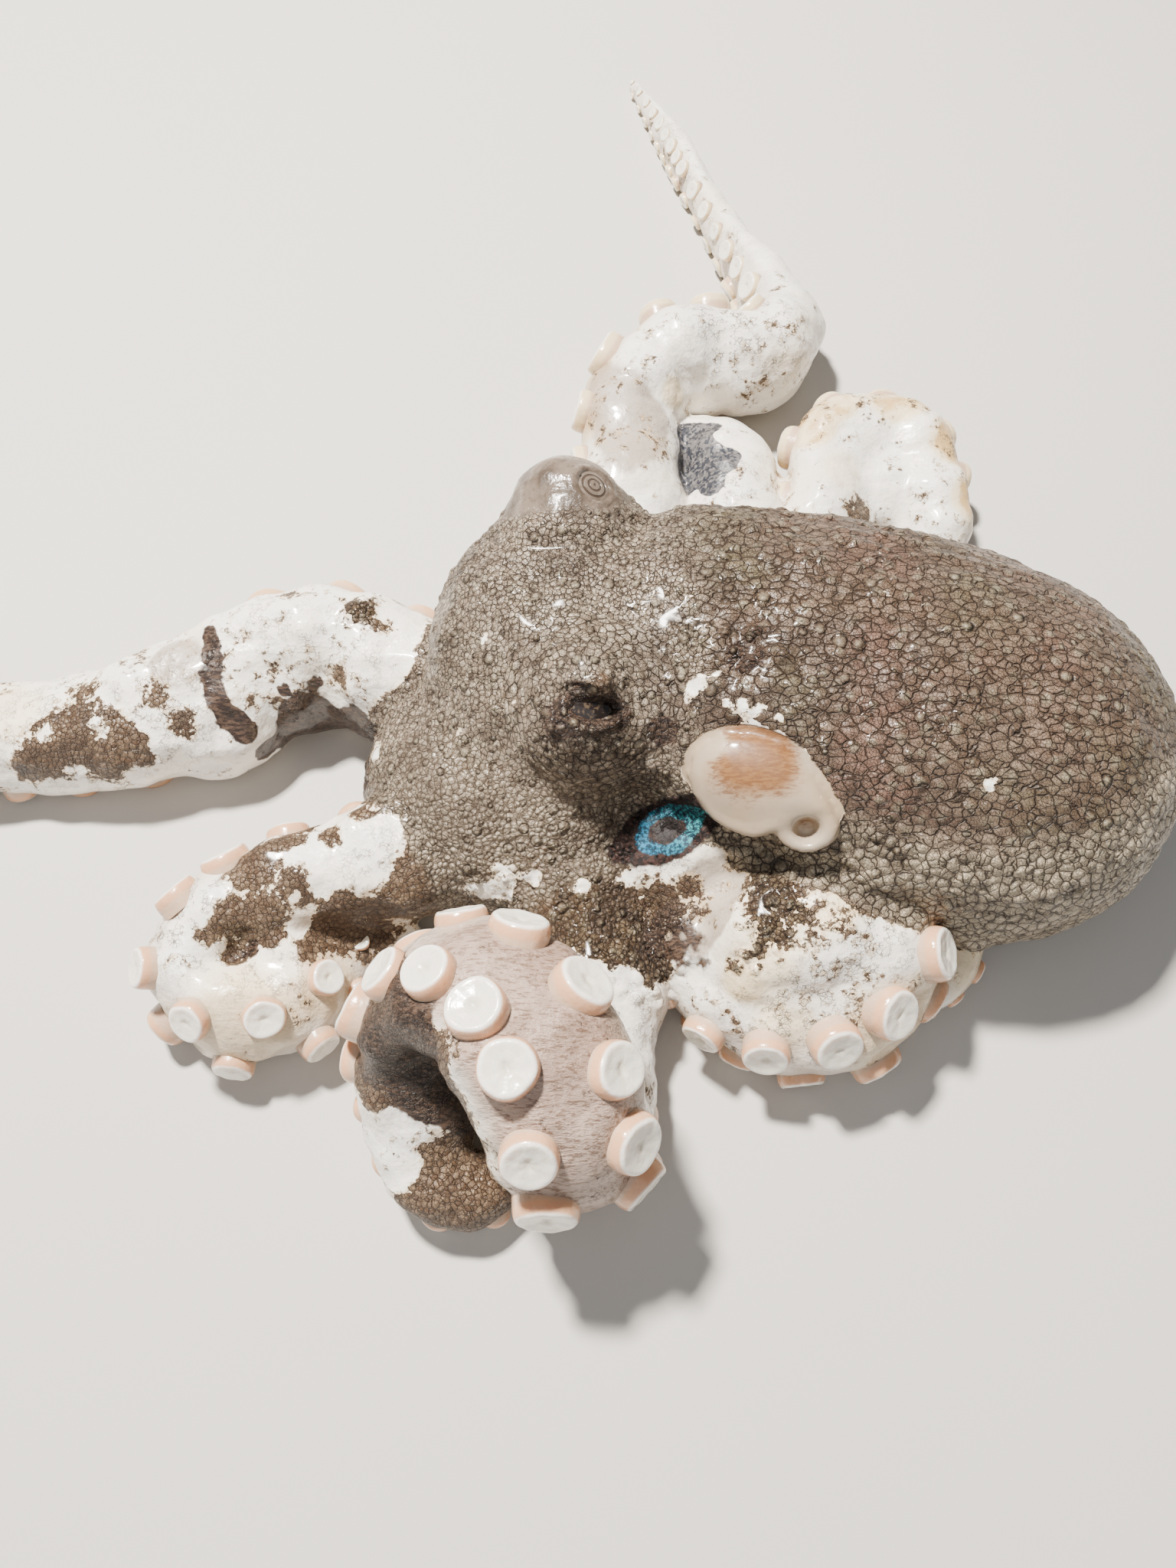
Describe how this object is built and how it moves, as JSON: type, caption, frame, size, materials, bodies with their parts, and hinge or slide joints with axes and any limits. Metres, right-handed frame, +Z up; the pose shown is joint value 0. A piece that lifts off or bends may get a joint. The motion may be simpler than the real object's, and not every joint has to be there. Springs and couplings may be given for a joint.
{
  "type": "octopus",
  "caption": "Octopus at life size, lying limp on the floor: bag-shaped mantle, head with raised eyes, funnel, webbed crown, and arms curled with their suckers outward.",
  "frame": {"origin": "on the floor, in the middle of the flat on which the mantle rests", "axes": "+Z up; +X towards the mantle's rear end; the head and arms lie towards -X, and the arms spread to -Y on the near side and to +Y on the far side"},
  "size_m": [0.2464, 0.2703, 0.0476],
  "materials": {
    "mantle_skin": "wet grey-brown skin in raised cells, with fine dark brown lines between them",
    "head_skin": "wet grey-brown skin with small raised cells and folds round the eyes",
    "crown_skin": "wet grey-brown skin with warty patches, rubbed white in places",
    "arm_skin": "wet white skin with brown warty patches, and cream suckers with peach rims",
    "funnel_skin": "smooth wet cream skin with fine tan specks",
    "eye_left": "wet dark eyeball, seen in a closed slit",
    "eye_right": "wet grey eyeball under a thin clear skin"
  },
  "bodies": {
    "root": {"mantle": "mantle_skin", "head": "head_skin", "crown": "crown_skin", "funnel": "funnel_skin", "eye_left": "eye_left", "eye_right": "eye_right", "arm_l1_root": "arm_skin", "arm_l1_middle": "arm_skin", "arm_l1_tip": "arm_skin", "arm_l2_root": "arm_skin", "arm_l2_middle": "arm_skin", "arm_l2_outer": "arm_skin", "arm_l2_tip": "arm_skin", "arm_l3_root": "arm_skin", "arm_l3_middle": "arm_skin", "arm_l3_tip": "arm_skin", "arm_l4_root": "arm_skin", "arm_l4_tip": "arm_skin", "arm_r1_root": "arm_skin", "arm_r1_middle": "arm_skin", "arm_r1_tip": "arm_skin", "arm_r2_root": "arm_skin", "arm_r2_middle": "arm_skin", "arm_r2_outer": "arm_skin", "arm_r2_tip": "arm_skin", "arm_r3_root": "arm_skin", "arm_r3_tip": "arm_skin", "arm_r4_root": "arm_skin", "arm_r4_middle": "arm_skin", "arm_r4_tip": "arm_skin"}
  },
  "joints": []
}
